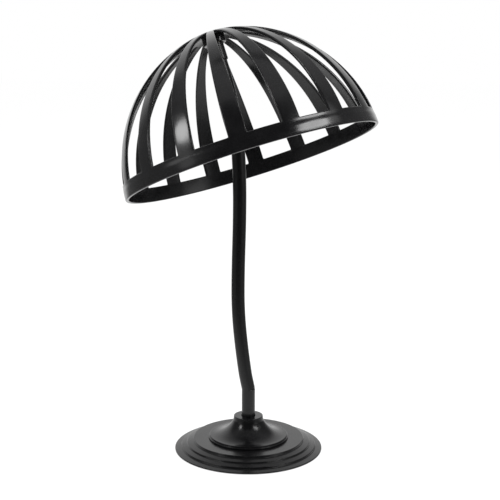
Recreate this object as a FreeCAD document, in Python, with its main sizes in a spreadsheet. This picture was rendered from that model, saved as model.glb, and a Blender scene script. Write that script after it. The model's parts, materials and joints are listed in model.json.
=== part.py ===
import FreeCAD, Part
import math
import os
import Sketcher
from FreeCAD import Placement, Rotation, Vector

# Table-top hat stand: a ribbed dome for the hat on a bendable neck, over a stepped and weighted foot.
# Millimetres and degrees. +Z is up, and the origin is the middle of the face that the stand rests on.

os.makedirs("parts", exist_ok=True)
doc = FreeCAD.newDocument("hat_stand")
sizes = doc.addObject("Spreadsheet::Sheet", "sizes")

# Driving dimensions. The rim of the dome is a hat size: the other lengths follow from it in proportion.
driving = {
    # Dome: one moulding of a rim band, tapered ribs and a closed crown
    "rim_radius": 90.5,
    "band_flare": 1.2,
    "band_height": 10.5,
    "band_bevel": 0.5,
    "dome_height": 94.3,
    "dome_centre_share": 0.0819,
    "dome_wall": 2.2,
    "rib_count": 16,
    "rib_root_width": 12.0,
    "rib_shoulder_inset": 2.7,
    "rib_middle_width": 8.0,
    "rib_middle_share": 0.666,
    "rib_crown_width": 5.0,
    "rib_root_round": 0.6,
    "gap_end_round": 0.8,
    "rib_turn": -0.3,
    "boss_wall": 2.4,
    "boss_depth": 7.9,
    # Neck: a round sleeve over a bendable core, from the foot to the boss under the crown
    "neck_radius": 4.75,
    "neck_core_radius": 2.95,
    "neck_core_clearance": 0.05,
    "neck_pitch": 31.4,
    "neck_seat_radius": 6.0,
    "neck_seat_gap": 0.3,
    # Fittings at the two ends of the neck
    "stud_radius": 3.0,
    "stud_clearance": 0.05,
    "stud_end_gap": 0.6,
    "stud_tail": 0.2,
    "ferrule_rise": 16.0,
    "cup_wall": 0.9,
    "cup_clearance": 0.05,
    "cup_length": 12.0,
    "cup_floor": 2.4,
    "cup_bevel": 0.4,
    "insert_wall": 1.5,
    "insert_flange": 1.0,
    "insert_flange_height": 0.8,
    "insert_clearance": 0.09,
    "insert_end_gap": 0.3,
    # Foot: stepped disc, collar, ballast plate, washer, nut and pad
    "brim_radius": 53.1,
    "brim_lift": 0.3,
    "brim_edge_height": 1.3,
    "brim_tread": 4.4,
    "brim_fall": 0.8,
    "outer_riser": 1.3,
    "outer_tread": 3.7,
    "middle_riser": 1.1,
    "middle_tread": 4.2,
    "inner_riser": 1.7,
    "tread_fall": 1.05,
    "riser_run": 0.4,
    "step_bevel": 0.3,
    "disc_wall": 1.8,
    "disc_side_wall": 1.9,
    "skirt_inset": 11.2,
    "skirt_height": 2.3,
    "skirt_bevel": 0.3,
    "collar_rise": 16.2,
    "collar_neck_drop": 3.0,
    "collar_neck_wall": 5.3,
    "collar_waist_flare": 0.4,
    "collar_top_bevel": 0.5,
    "collar_flare_share": 0.92,
    "collar_wall": 1.8,
    "collar_boss_wall": 2.2,
    "collar_hole_clearance": 0.35,
    "collar_seat_rise": 5.7,
    "pad_inset": 5.6,
    "pad_thickness": 1.0,
    "pad_clearance": 0.2,
    "plate_thickness": 4.2,
    "plate_clearance": 0.3,
    "plate_recess_margin": 3.0,
    "washer_radius": 7.0,
    "washer_thickness": 0.8,
    "nut_across_flats": 10.0,
    "nut_height": 3.2,
    "nut_lift": 0.5,
}
for row, (name, number) in enumerate(driving.items(), start=1):
    cell = "A" + str(row)
    sizes.set(cell, str(number))
    sizes.setAlias(cell, name)
doc.recompute()

# How each stretch of the neck leans as photographed, in degrees from upright: to the left, and backwards.
# The last stretch is the one that carries the dome, so its leans are also the dome's.
SIDE_LEANS = [8.5, 5.4, -0.4, -1.8, -0.2, 3.3, 10.8, 17.8]
BACK_LEANS = [0.0, 0.0, 0.0, 0.0, 0.0, 0.6, 5.2, 13.0]

# The disc's steps, from the brim inwards: a tread, how far it falls outwards, and the riser at its back
STEPS = (
    ("brim_tread", "brim_fall", "outer_riser"),
    ("outer_tread", "tread_fall", "middle_riser"),
    ("middle_tread", "tread_fall", "inner_riser"),
)


def step_corners():
    """Foot and top edge of each riser, both as formulas for (radius, height)."""
    radius = "brim_radius"
    height = "brim_edge_height"
    risers = []
    for tread, fall, riser in STEPS:
        radius += " - " + tread
        height += " + " + fall
        foot = (radius, height)
        radius += " - riser_run"
        height += " + " + riser
        risers.append((foot, (radius, height)))
    return risers


# Places that several pieces share, as formulas in the sheet's names
STUD_BORE = "(stud_radius + stud_clearance)"
DISC_INNER_EDGE, DISC_TOP = ("(" + formula + ")" for formula in step_corners()[-1][1])
DISC_CEILING = "(" + DISC_TOP + " - disc_wall)"
PAD_RADIUS = "(brim_radius - pad_inset)"
NUT_BOTTOM = "(pad_thickness + nut_lift)"
WASHER_BOTTOM = "(pad_thickness + nut_lift + nut_height)"
WASHER_TOP = "(pad_thickness + nut_lift + nut_height + washer_thickness)"
COLLAR_TOP = "(" + DISC_TOP + " + collar_rise)"
COLLAR_SEAT = "(" + DISC_TOP + " + collar_seat_rise)"
NECK_START = "(" + COLLAR_TOP + " + ferrule_rise)"
BAND_TOP_RADIUS = "(rim_radius - band_flare)"
RIB_MIDDLE_RADIUS = "(rib_middle_share * (rim_radius - band_flare))"
BOSS_BOTTOM = "(dome_height - boss_depth)"
INSERT_LENGTH = "(boss_depth - dome_wall - insert_end_gap)"
INSERT_RADIUS = "(stud_radius + stud_clearance + insert_wall)"
INSERT_FLANGE_RADIUS = "(stud_radius + stud_clearance + insert_wall + insert_flange)"
BOSS_RECESS_RADIUS = "(" + INSERT_FLANGE_RADIUS + " + insert_clearance)"
BOSS_RADIUS = "(" + BOSS_RECESS_RADIUS + " + boss_wall)"

# Two places nearer than this are the same place
TOUCH = 0.001

# Sides of the hexagon nut
NUT_SIDES = 6

parts = []


def measure(formula):
    """Value of a formula written in the sheet's names."""
    return sizes.evalExpression(formula)


def in_sheet(formula):
    """The same formula as other objects of the document have to write it."""
    words = []
    word = ""
    for letter in formula + " ":
        if letter.isalpha() or letter == "_":
            word += letter
            continue
        if word in driving:
            word = "sizes." + word
        words.append(word + letter)
        word = ""
    return "".join(words).strip()


def add_body(label):
    """A new sub-part, listed for the export."""
    body = doc.addObject("PartDesign::Body", label)
    body.Label = label
    parts.append(body)
    return body


def origin_feature(body, role):
    """One of the body's own origin planes or axes."""
    return next(feature for feature in body.Origin.OriginFeatures if feature.Role == role)


def add_sketch(body, name, role, offset=None):
    """A sketch on one of the body's origin planes, lifted off it by a formula where one is given."""
    sketch = body.newObject("Sketcher::SketchObject", name)
    sketch.AttachmentSupport = (origin_feature(body, role), [""])
    sketch.MapMode = "FlatFace"
    if offset is not None:
        sketch.setExpression("AttachmentOffset.Base.z", in_sheet(offset))
    return sketch


def bind(sketch, kind, place, formula):
    """One dimension of a sketch, bound to the sheet."""
    index = sketch.addConstraint(Sketcher.Constraint(kind, *place, measure(formula)))
    sketch.setExpression("Constraints[%d]" % index, in_sheet(formula))


def draw_outline(sketch, corners):
    """A closed outline through corners (across, up), each pair of formulas.

    A third entry makes the stretch that ends at this corner an arc: its radius and the side, +1 or -1,
    that its centre lies on, to the left or right of the way that the outline runs.
    """
    places = [Vector(measure(corner[0]), measure(corner[1]), 0) for corner in corners]
    for number, corner in enumerate(corners):
        start = places[number - 1]
        end = places[number]
        if len(corner) == 2:
            sketch.addGeometry(Part.LineSegment(start, end), False)
            continue
        radius = measure(corner[2])
        side = corner[3]
        chord = end - start
        reach = math.sqrt(radius ** 2 - (chord.Length / 2) ** 2)
        left = Vector(-chord.y, chord.x, 0).normalize()
        centre = start + chord * 0.5 + left * side * reach
        circle = Part.Circle(centre, Vector(0, 0, 1), radius)
        ends = (start, end) if side > 0 else (end, start)
        turns = [math.atan2(point.y - centre.y, point.x - centre.x) for point in ends]
        sketch.addGeometry(Part.ArcOfCircle(circle, turns[0], turns[1]), False)
    for number, corner in enumerate(corners):
        following = (number + 1) % len(corners)
        arc_here = len(corner) > 2
        arc_next = len(corners[following]) > 2
        end = 1 if arc_here and corner[3] < 0 else 2
        begin = 2 if arc_next and corners[following][3] < 0 else 1
        sketch.addConstraint(Sketcher.Constraint("Coincident", number, end, following, begin))
        for axis, kind in ((0, "DistanceX"), (1, "DistanceY")):
            if measure(corner[axis]) == 0:
                line = -2 if axis == 0 else -1
                sketch.addConstraint(Sketcher.Constraint("PointOnObject", number, end, line))
            else:
                bind(sketch, kind, (-1, 1, number, end), corner[axis])
        if arc_here:
            bind(sketch, "Radius", (number,), corner[2])


def turned(body, name, corners):
    """A turned form: the outline spun round the body's own Z axis."""
    sketch = add_sketch(body, name + "_outline", "XZ_Plane")
    draw_outline(sketch, corners)
    feature = body.newObject("PartDesign::Revolution", name)
    feature.Profile = sketch
    feature.ReferenceAxis = (sketch, ["V_Axis"])
    feature.setExpression("Angle", "360")
    doc.recompute()
    return feature


def rounded(body, name, radius, wanted):
    """Fillets on every edge of the body's present shape that the test picks."""
    shape = body.Tip.Shape
    picked = []
    for number, edge in enumerate(shape.Edges, start=1):
        if not edge.Degenerated and wanted(edge):
            picked.append("Edge%d" % number)
    feature = body.newObject("PartDesign::Fillet", name)
    feature.Base = (body.Tip if body.Tip is not feature else feature.BaseFeature, picked)
    feature.setExpression("Radius", in_sheet(radius))
    doc.recompute()
    return feature


# Foot

def make_foot_pad():
    body = add_body("foot_pad")
    turned(body, "pad", [
        ("0", "0"),
        (PAD_RADIUS, "0"),
        (PAD_RADIUS, "pad_thickness"),
        ("0", "pad_thickness"),
    ])


def make_base_disc():
    """Stepped disc, hollow underneath for the ballast plate, with a ledge that the pad is stuck to."""
    body = add_body("base_disc")
    cavity = DISC_INNER_EDGE + " - disc_side_wall"
    ledge = PAD_RADIUS + " + pad_clearance"
    corners = [
        (STUD_BORE, DISC_CEILING),
        (cavity, DISC_CEILING),
        (cavity, "pad_thickness"),
        (ledge, "pad_thickness"),
        (ledge, "brim_lift"),
        ("brim_radius", "brim_lift"),
        ("brim_radius", "brim_edge_height"),
    ]
    for foot, edge in step_corners():
        corners.append(foot)
        corners.append((edge[0], edge[1] + " - step_bevel"))
        corners.append((edge[0] + " - step_bevel", edge[1]))
    corners.append((STUD_BORE, DISC_TOP))
    turned(body, "disc", corners)


def make_base_collar():
    """Trumpet-shaped shell over the disc, with a tube inside that the neck's ferrule stands in."""
    body = add_body("base_collar")
    hole = "(neck_radius + collar_hole_clearance)"
    boss = hole + " + collar_boss_wall"
    top_radius = "(" + hole + " + collar_neck_wall)"
    waist_radius = "(" + top_radius + " + collar_waist_flare)"
    waist = "(" + COLLAR_TOP + " - collar_neck_drop)"
    skirt_radius = "(" + DISC_INNER_EDGE + " - skirt_inset)"
    skirt_top = "(" + DISC_TOP + " + skirt_height)"
    shell_end = waist + " - collar_wall - collar_wall"
    across = "(" + skirt_radius + " - skirt_bevel - " + waist_radius + ")"
    up = "(" + waist + " - " + skirt_top + ")"
    flare = "(collar_flare_share * sqrt(" + across + " ^ 2 + " + up + " ^ 2))"
    turned(body, "collar", [
        (STUD_BORE, DISC_TOP),
        (boss, DISC_TOP),
        (boss, shell_end),
        (waist_radius + " - collar_wall / 2", shell_end),
        (skirt_radius + " - collar_wall", skirt_top + " - collar_wall", flare + " + collar_wall", 1),
        (skirt_radius + " - collar_wall", DISC_TOP),
        (skirt_radius, DISC_TOP),
        (skirt_radius, skirt_top + " - skirt_bevel"),
        (skirt_radius + " - skirt_bevel", skirt_top),
        (waist_radius, waist, flare, -1),
        (top_radius, COLLAR_TOP + " - collar_top_bevel"),
        (top_radius + " - collar_top_bevel", COLLAR_TOP),
        (hole, COLLAR_TOP),
        (hole, COLLAR_SEAT),
        (STUD_BORE, COLLAR_SEAT),
    ])


def make_ballast_plate():
    """Steel plate that fills the hollow of the disc, recessed underneath for the nut."""
    body = add_body("ballast_plate")
    recess = "washer_radius + plate_recess_margin"
    outside = DISC_INNER_EDGE + " - disc_side_wall - plate_clearance"
    turned(body, "plate", [
        (STUD_BORE, WASHER_TOP),
        (recess, WASHER_TOP),
        (recess, DISC_CEILING + " - plate_thickness"),
        (outside, DISC_CEILING + " - plate_thickness"),
        (outside, DISC_CEILING),
        (STUD_BORE, DISC_CEILING),
    ])


def make_base_washer():
    body = add_body("base_washer")
    turned(body, "washer", [
        (STUD_BORE, WASHER_BOTTOM),
        ("washer_radius", WASHER_BOTTOM),
        ("washer_radius", WASHER_TOP),
        (STUD_BORE, WASHER_TOP),
    ])


def make_base_nut():
    """Thin hexagon nut that clamps plate, disc and collar to the ferrule's stud."""
    body = add_body("base_nut")
    sketch = add_sketch(body, "hexagon", "XY_Plane", NUT_BOTTOM)
    corner_radius = "nut_across_flats / (2 * cos(180deg / %d))" % NUT_SIDES
    radius = measure(corner_radius)
    points = []
    for number in range(NUT_SIDES):
        turn = 2 * math.pi * number / NUT_SIDES
        points.append(Vector(radius * math.cos(turn), radius * math.sin(turn), 0))
    for number in range(NUT_SIDES):
        sketch.addGeometry(Part.LineSegment(points[number], points[(number + 1) % NUT_SIDES]), False)
    circle = sketch.addGeometry(Part.Circle(Vector(0, 0, 0), Vector(0, 0, 1), radius), True)
    sketch.addConstraint(Sketcher.Constraint("Coincident", circle, 3, -1, 1))
    for number in range(NUT_SIDES):
        following = (number + 1) % NUT_SIDES
        sketch.addConstraint(Sketcher.Constraint("Coincident", number, 2, following, 1))
        sketch.addConstraint(Sketcher.Constraint("PointOnObject", number, 1, circle))
        if number > 0:
            sketch.addConstraint(Sketcher.Constraint("Equal", 0, number))
    sketch.addConstraint(Sketcher.Constraint("PointOnObject", 0, 1, -1))
    bind(sketch, "Radius", (circle,), corner_radius)
    bore = Part.Circle(Vector(0, 0, 0), Vector(0, 0, 1), measure(STUD_BORE))
    hole = sketch.addGeometry(bore, False)
    sketch.addConstraint(Sketcher.Constraint("Coincident", hole, 3, -1, 1))
    bind(sketch, "Radius", (hole,), STUD_BORE)
    pad = body.newObject("PartDesign::Pad", "nut")
    pad.Profile = sketch
    pad.setExpression("Length", in_sheet("nut_height"))
    doc.recompute()


def make_lower_ferrule():
    """Rigid lower end of the neck: it stands in the collar, and its stud runs down through the foot."""
    body = add_body("lower_ferrule")
    stud_end = NUT_BOTTOM + " - stud_tail"
    turned(body, "ferrule", [
        ("0", stud_end),
        ("stud_radius", stud_end),
        ("stud_radius", COLLAR_SEAT),
        ("neck_radius", COLLAR_SEAT),
        ("neck_radius", NECK_START + " + sqrt(neck_seat_radius ^ 2 - neck_radius ^ 2)"),
        ("0", NECK_START + " + neck_seat_radius", "neck_seat_radius", 1),
    ])


# Neck: each stretch turns on the round end of the one below it, about a point inside that one

def neck_stretch(label, inner, outer, top):
    """One stretch of sleeve or core, from its hollow lower end to its round or flat upper end.

    Its own origin is the point that it turns about, and its own Z axis runs along the neck.
    """
    body = add_body(label)
    hollow = "(neck_seat_radius + neck_seat_gap)"
    corners = [
        (inner, "sqrt(" + hollow + " ^ 2 - (" + inner + ") ^ 2)"),
        (outer, "sqrt(" + hollow + " ^ 2 - (" + outer + ") ^ 2)", hollow, -1),
    ]
    if top is None:
        corners.append((outer, "neck_pitch + sqrt(neck_seat_radius ^ 2 - (" + outer + ") ^ 2)"))
        corners.append((inner, "neck_pitch + sqrt(neck_seat_radius ^ 2 - (" + inner + ") ^ 2)",
                        "neck_seat_radius", 1))
    else:
        corners.append((outer, top))
        corners.append((inner, top))
    turned(body, label + "_turning", corners)
    return body


def lean_direction(number):
    """Unit vector along one stretch of the neck, counted from 0 at the foot."""
    side = math.tan(math.radians(SIDE_LEANS[number]))
    back = math.tan(math.radians(BACK_LEANS[number]))
    return Vector(-side, back, 1).normalize()


def lean_rotation(number):
    """Turn that stands the Z axis along one stretch and keeps X level with the front."""
    along = lean_direction(number)
    across = Vector(0, 1, 0).cross(along).normalize()
    return Rotation(across, along.cross(across), along, "ZXY")


def neck_point(number):
    """Point that stretch number turns about; the last one is where the neck meets the boss."""
    point = Vector(0, 0, measure(NECK_START))
    for stretch in range(number):
        point += lean_direction(stretch) * measure("neck_pitch")
    return point


def make_neck():
    count = len(SIDE_LEANS)
    for number in range(count):
        top = "neck_pitch - cup_floor" if number == count - 1 else None
        sleeve = neck_stretch("neck_sleeve_%d" % (number + 1),
                              "neck_core_radius + neck_core_clearance", "neck_radius", top)
        core = neck_stretch("neck_core_%d" % (number + 1), "0", "neck_core_radius", top)
        placement = Placement(neck_point(number), lean_rotation(number))
        sleeve.Placement = placement
        core.Placement = placement


# Head: upper ferrule, insert and dome, along the direction of the neck's last stretch

def head_placement():
    """Frame of the head: its origin is the middle of the dome's rim, and Z runs up to the crown."""
    last = len(SIDE_LEANS) - 1
    rim_middle = neck_point(last + 1) - lean_direction(last) * measure(BOSS_BOTTOM)
    turn = Rotation(Vector(0, 0, 1), measure("rib_turn"))
    return Placement(rim_middle, lean_rotation(last) * turn)


def make_upper_ferrule():
    """Cup crimped over the top of the neck, with a stud that screws up into the boss."""
    body = add_body("upper_ferrule")
    bore = "(neck_radius + cup_clearance)"
    outside = bore + " + cup_wall"
    mouth = BOSS_BOTTOM + " - cup_length"
    floor = BOSS_BOTTOM + " - cup_floor"
    stud_end = BOSS_BOTTOM + " + " + INSERT_LENGTH + " - stud_end_gap"
    turned(body, "cup", [
        (bore, mouth),
        (outside + " - cup_bevel", mouth),
        (outside, mouth + " + cup_bevel"),
        (outside, BOSS_BOTTOM),
        ("stud_radius", BOSS_BOTTOM),
        ("stud_radius", stud_end),
        ("0", stud_end),
        ("0", floor),
        (bore, floor),
    ])
    body.Placement = head_placement()


def make_crown_insert():
    """Flanged brass insert for the stud, set into the boss from below."""
    body = add_body("crown_insert")
    flange_top = BOSS_BOTTOM + " + insert_flange_height"
    end = BOSS_BOTTOM + " + " + INSERT_LENGTH
    turned(body, "insert", [
        (STUD_BORE, BOSS_BOTTOM),
        (INSERT_FLANGE_RADIUS, BOSS_BOTTOM),
        (INSERT_FLANGE_RADIUS, flange_top),
        (INSERT_RADIUS, flange_top),
        (INSERT_RADIUS, end),
        (STUD_BORE, end),
    ])
    body.Placement = head_placement()


def make_hat_dome():
    """Wall spun from the rim to the crown, with a bored boss under it, cut into ribs by a ring of gaps.

    From the band to the boss the wall is one arc. Its centre lies a little way across the axis, and the two
    reaches are how far out from it the arc starts and ends. The crown is flat over the boss, whose bore is
    recessed at its mouth for the insert's flange.
    """
    body = add_body("hat_dome")
    foot_reach = "(" + BAND_TOP_RADIUS + " * (1 + dome_centre_share))"
    crown_reach = "(" + BOSS_RADIUS + " + " + BAND_TOP_RADIUS + " * dome_centre_share)"
    squares = "(dome_height ^ 2 - band_height ^ 2 + " + crown_reach + " ^ 2 - " + foot_reach + " ^ 2)"
    centre_rise = "(" + squares + " / (2 * (dome_height - band_height)))"
    bulge = "(sqrt(" + foot_reach + " ^ 2 + (band_height - " + centre_rise + ") ^ 2))"
    bore = INSERT_RADIUS + " + insert_clearance"
    recess_top = BOSS_BOTTOM + " + insert_flange_height"
    turned(body, "wall", [
        ("rim_radius - dome_wall", "band_bevel"),
        ("rim_radius - dome_wall + band_bevel", "0"),
        ("rim_radius - band_bevel", "0"),
        ("rim_radius", "band_bevel"),
        (BAND_TOP_RADIUS, "band_height"),
        (BOSS_RADIUS, "dome_height", bulge, 1),
        ("0", "dome_height"),
        ("0", "dome_height - dome_wall"),
        (bore, "dome_height - dome_wall"),
        (bore, recess_top),
        (BOSS_RECESS_RADIUS, recess_top),
        (BOSS_RECESS_RADIUS, BOSS_BOTTOM),
        (BOSS_RADIUS, BOSS_BOTTOM),
        (BOSS_RADIUS, "dome_height - dome_wall"),
        (BAND_TOP_RADIUS + " - dome_wall", "band_height", bulge + " - dome_wall", -1),
    ])
    add_gaps(body)
    rounded(body, "rib_roots", "rib_root_round", is_rib_root)
    rounded(body, "gap_ends", "gap_end_round", is_gap_end)
    body.Placement = head_placement()


def add_gaps(body):
    """Gaps between the ribs, cut straight up from the top of the rim band.

    A gap lies between a rib along X and the next one. Its near side is straight over the shoulder of the
    dome, then one arc through the rib's middle width to the hub, where it meets the far side. The far side
    is its mirror image in the line halfway between the two ribs.
    """
    sketch = add_sketch(body, "gap_outline", "XY_Plane", "band_height")
    half_turn = "180deg / rib_count"
    half_root = "rib_root_width / 2"
    half_middle = "rib_middle_width / 2"
    half_crown = "rib_crown_width / 2"
    shoulder_radius = BAND_TOP_RADIUS + " - rib_shoulder_inset"
    past = "rim_radius + dome_wall"
    halfway = math.radians(180 / measure("rib_count"))

    def mirrored(point):
        turn = 2 * halfway - math.atan2(point.y, point.x)
        return Vector(point.Length * math.cos(turn), point.Length * math.sin(turn), 0)

    hub = Vector(measure(half_crown) / math.tan(halfway), measure(half_crown), 0)
    middle = Vector(measure(RIB_MIDDLE_RADIUS), measure(half_middle), 0)
    shoulder = Vector(measure(shoulder_radius), measure(half_root), 0)
    outside = Vector(measure(past), measure(half_root), 0)
    axis = Vector(outside.x * math.cos(halfway), outside.x * math.sin(halfway), 0)

    axis_line = sketch.addGeometry(Part.LineSegment(Vector(0, 0, 0), axis), True)
    near_arc = sketch.addGeometry(Part.Arc(hub, middle, shoulder), False)
    near_line = sketch.addGeometry(Part.LineSegment(shoulder, outside), False)
    end_line = sketch.addGeometry(Part.LineSegment(outside, mirrored(outside)), False)
    far_line = sketch.addGeometry(Part.LineSegment(mirrored(outside), mirrored(shoulder)), False)
    far_arc = sketch.addGeometry(Part.Arc(mirrored(shoulder), mirrored(middle), hub), False)
    near_middle = sketch.addGeometry(Part.Point(middle), True)
    far_middle = sketch.addGeometry(Part.Point(mirrored(middle)), True)

    def end_at(geometry, point):
        """Number of the end of an arc that lies at a point: an arc keeps its own sense of turn."""
        start = sketch.Geometry[geometry].StartPoint
        return 1 if start.distanceToPoint(point) < TOUCH else 2

    near_hub = end_at(near_arc, hub)
    near_shoulder = 3 - near_hub
    far_hub = end_at(far_arc, hub)
    far_shoulder = 3 - far_hub
    for constraint in (
        ("Coincident", axis_line, 1, -1, 1),
        ("Coincident", near_arc, near_shoulder, near_line, 1),
        ("Coincident", near_line, 2, end_line, 1),
        ("Coincident", end_line, 2, far_line, 1),
        ("Coincident", far_line, 2, far_arc, far_shoulder),
        ("Coincident", far_arc, far_hub, near_arc, near_hub),
        ("PointOnObject", near_arc, near_hub, axis_line),
        ("Horizontal", near_line),
        ("Symmetric", near_line, 1, far_line, 2, axis_line),
        ("Symmetric", near_line, 2, far_line, 1, axis_line),
        ("Symmetric", near_middle, 1, far_middle, 1, axis_line),
        ("PointOnObject", near_middle, 1, near_arc),
        ("PointOnObject", far_middle, 1, far_arc),
    ):
        sketch.addConstraint(Sketcher.Constraint(*constraint))
    bind(sketch, "Distance", (axis_line,), past)
    bind(sketch, "DistanceX", (-1, 1, near_line, 2), past)
    bind(sketch, "DistanceX", (-1, 1, near_line, 1), shoulder_radius)
    bind(sketch, "DistanceY", (-1, 1, near_line, 1), half_root)
    bind(sketch, "DistanceX", (-1, 1, near_middle, 1), RIB_MIDDLE_RADIUS)
    bind(sketch, "DistanceY", (-1, 1, near_middle, 1), half_middle)
    bind(sketch, "DistanceY", (-1, 1, near_arc, near_hub), half_crown)
    angle = sketch.addConstraint(Sketcher.Constraint("Angle", axis_line, halfway))
    sketch.setExpression("Constraints[%d]" % angle, in_sheet(half_turn))

    gap = body.newObject("PartDesign::Pocket", "gap")
    gap.Profile = sketch
    gap.Type = 1
    gap.Reversed = True
    doc.recompute()
    gaps = body.newObject("PartDesign::PolarPattern", "gaps")
    gaps.Originals = [gap]
    gaps.Axis = (origin_feature(body, "Z_Axis"), [""])
    gaps.setExpression("Angle", "360")
    gaps.setExpression("Occurrences", in_sheet("rib_count"))
    body.Tip = gaps
    doc.recompute()


def is_rib_root(edge):
    """Corner between a rib's side and the top of the rim band."""
    if not isinstance(edge.Curve, Part.Line):
        return False
    on_band = all(abs(vertex.Z - measure("band_height")) < TOUCH for vertex in edge.Vertexes)
    return on_band


def is_gap_end(edge):
    """Upright corner at the narrow end of a gap, beside the hub."""
    if not isinstance(edge.Curve, Part.Line):
        return False
    first, last = (vertex.Point for vertex in edge.Vertexes)
    upright = math.hypot(last.x - first.x, last.y - first.y) < TOUCH
    return upright and math.hypot(first.x, first.y) < measure(RIB_MIDDLE_RADIUS)


make_foot_pad()
make_base_disc()
make_base_collar()
make_ballast_plate()
make_base_washer()
make_base_nut()
make_lower_ferrule()
make_neck()
make_upper_ferrule()
make_crown_insert()
make_hat_dome()
doc.recompute()

for item in doc.Objects:
    if "Invalid" in item.State or "Error" in item.State:
        raise RuntimeError(item.Label + " could not be built: " + str(item.State))
for body in parts:
    if body.Shape.isNull() or not body.Shape.isValid():
        raise RuntimeError(body.Label + " has no valid shape")
for body in parts:
    body.Shape.exportStep(os.path.join("parts", body.Label + ".step"))
    print(body.Label, round(body.Shape.Volume, 1))
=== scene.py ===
"""Looks of a table-top hat stand: a ribbed dome on a bendable neck over a stepped round foot.

Every length is in metres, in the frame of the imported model. +Z is up, and -Y faces the viewer.
"""

import json
import math

import bmesh
import bpy
from mathutils import Matrix, Vector

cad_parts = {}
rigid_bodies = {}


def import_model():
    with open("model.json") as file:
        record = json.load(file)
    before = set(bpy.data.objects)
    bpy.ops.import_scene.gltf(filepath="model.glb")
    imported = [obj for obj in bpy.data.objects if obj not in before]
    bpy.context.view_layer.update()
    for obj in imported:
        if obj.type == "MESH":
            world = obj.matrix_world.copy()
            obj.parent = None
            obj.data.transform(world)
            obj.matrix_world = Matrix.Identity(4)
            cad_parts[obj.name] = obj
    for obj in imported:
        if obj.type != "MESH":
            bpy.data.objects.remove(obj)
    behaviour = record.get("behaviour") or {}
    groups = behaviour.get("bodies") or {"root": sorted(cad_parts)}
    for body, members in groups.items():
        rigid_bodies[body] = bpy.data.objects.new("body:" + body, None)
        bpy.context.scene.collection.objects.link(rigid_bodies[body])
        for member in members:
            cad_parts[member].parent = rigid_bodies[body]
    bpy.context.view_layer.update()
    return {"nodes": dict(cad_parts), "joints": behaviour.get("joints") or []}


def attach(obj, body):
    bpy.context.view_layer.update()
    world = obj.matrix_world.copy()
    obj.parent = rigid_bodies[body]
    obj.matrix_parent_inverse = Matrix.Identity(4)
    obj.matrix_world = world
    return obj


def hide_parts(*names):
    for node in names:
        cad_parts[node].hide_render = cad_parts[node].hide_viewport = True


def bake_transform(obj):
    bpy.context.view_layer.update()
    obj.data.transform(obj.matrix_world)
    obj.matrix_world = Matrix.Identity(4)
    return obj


bl_info = {
    "name": "Table-top hat stand",
    "version": (1, 0, 0),
    "blender": (4, 5, 0),
    "location": "3D View > Sidebar > Hat stand",
    "description": "Builds the visible pieces of a hat stand with a bendable neck, and their materials",
    "category": "Object",
}

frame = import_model()

MM = 0.001
FULL_TURN = 2 * math.pi

# Points nearer than this are the same point
TOUCH = 0.02 * MM

# Faces that meet at more than this have a real edge between them
SHARP = math.radians(40)

# Faces of the dome: columns across a rib with its share of the gaps, columns across the rib alone, rows along the
# rib and up the band, rows of the hub if they ran down to the band, and rings of the crown over the boss
COLUMNS = 18
RIB_COLUMNS = 6
RIB_ROWS = 32
BAND_ROWS = 18
HUB_ROWS = 60
CROWN_RINGS = 5

# Steps in which the way along the dome's outline is measured
FINE_STEPS = 1200

# The hub's first row lies at least this far inside the last row of the ribs
HUB_MARGIN = 0.5 * MM

# Where a rib has its three widths: this many boss radii from the axis, at this share of the band's top radius,
# and this far inside that radius
RIB_CROWN_AT = 1.6
RIB_MIDDLE_AT = 0.666
RIB_ROOT_INSET = 2.7 * MM

# Start and length of the band's step and of its roll, as shares of the band's height, down from the ribs
STEP_START, STEP_RUN = 0.17, 0.29
ROLL_START, ROLL_RUN = 0.71, 0.29

# Points round the boss and round disc and collar, and rows along the flare outside and inside
BOSS_POINTS = 64
FOOT_POINTS = 192
FLARE_ROWS = 32
INNER_FLARE_ROWS = 12

# An extra ring of points keeps the disc's top flat up to this far from its edge
TOP_RING_INSET = 6 * MM

# Rows along one bend of the neck, and how finely its round is divided
NECK_ROWS = 16
NECK_ROUND = 10

# Clearance between sleeve and core, and round the edge of the pad
CORE_GAP = 0.05 * MM
PAD_GAP = 0.2 * MM

# Nearly all of a noise pattern lies between these values
NOISE_LOW, NOISE_HIGH = 0.3, 0.7

# Share by which the plastic's colour varies along its ripple
PLASTIC_TONE = 0.15

# Settings of the nodes for a soft step, and for a colour multiplied by a pattern
SOFT = {"interpolation_type": "SMOOTHSTEP"}
TINTED = {"data_type": "RGBA", "blend_type": "MULTIPLY"}

WHITE = (1.0, 1.0, 1.0, 1.0)

# What the gloss mirrors. A turn is an angle to the right of straight behind, and 1 is the level of the backdrop.
# The backdrop fades to the sides' level between two turns on the right, and on the left over an angle that ends
# at the backdrop's own turn, or at the floor's. The sides' level falls to the front's between two more turns.
BACKDROP_RIGHT = (math.radians(18), math.radians(40))
BACKDROP_LEFT = math.radians(-43)
BACKDROP_LEFT_FADE = math.radians(20)
FLOOR_LEFT = math.radians(-28)
SIDE_LEVEL = 0.2
FRONT_TURNS = (math.radians(125), math.radians(150))
FRONT_LEVEL = 0.02

# The floor has its own level near the object, which becomes that of the walls between two distances
FLOOR_LEVEL = 0.85
FLOOR_FADE = (80 * MM, 420 * MM)

# The lit ceiling starts at one angle in front and at a lower one behind, and is whole at a third. Depth and height
# are parts of the mirrored direction. The start sinks between two depths, and by the slant it does so further
# forward on the left.
CEILING_FRONT = math.radians(57)
CEILING_BEHIND = math.radians(30)
CEILING_WHOLE = math.radians(62)
CEILING_DEPTHS = (-0.35, -0.1)
CEILING_SLANT = 0.5
CEILING_LEVEL = 0.45

# Dark gap between the backdrop's top and the ceiling: depth of its middle, half depth of the gap and of its soft
# edge, heights at which it starts and is whole, and its share of the light
GAP_DEPTH = 0.27
GAP_REACH = (0.03, 0.09)
GAP_HEIGHTS = (0.87, 0.92)
GAP_SHARE = 0.2

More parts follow.
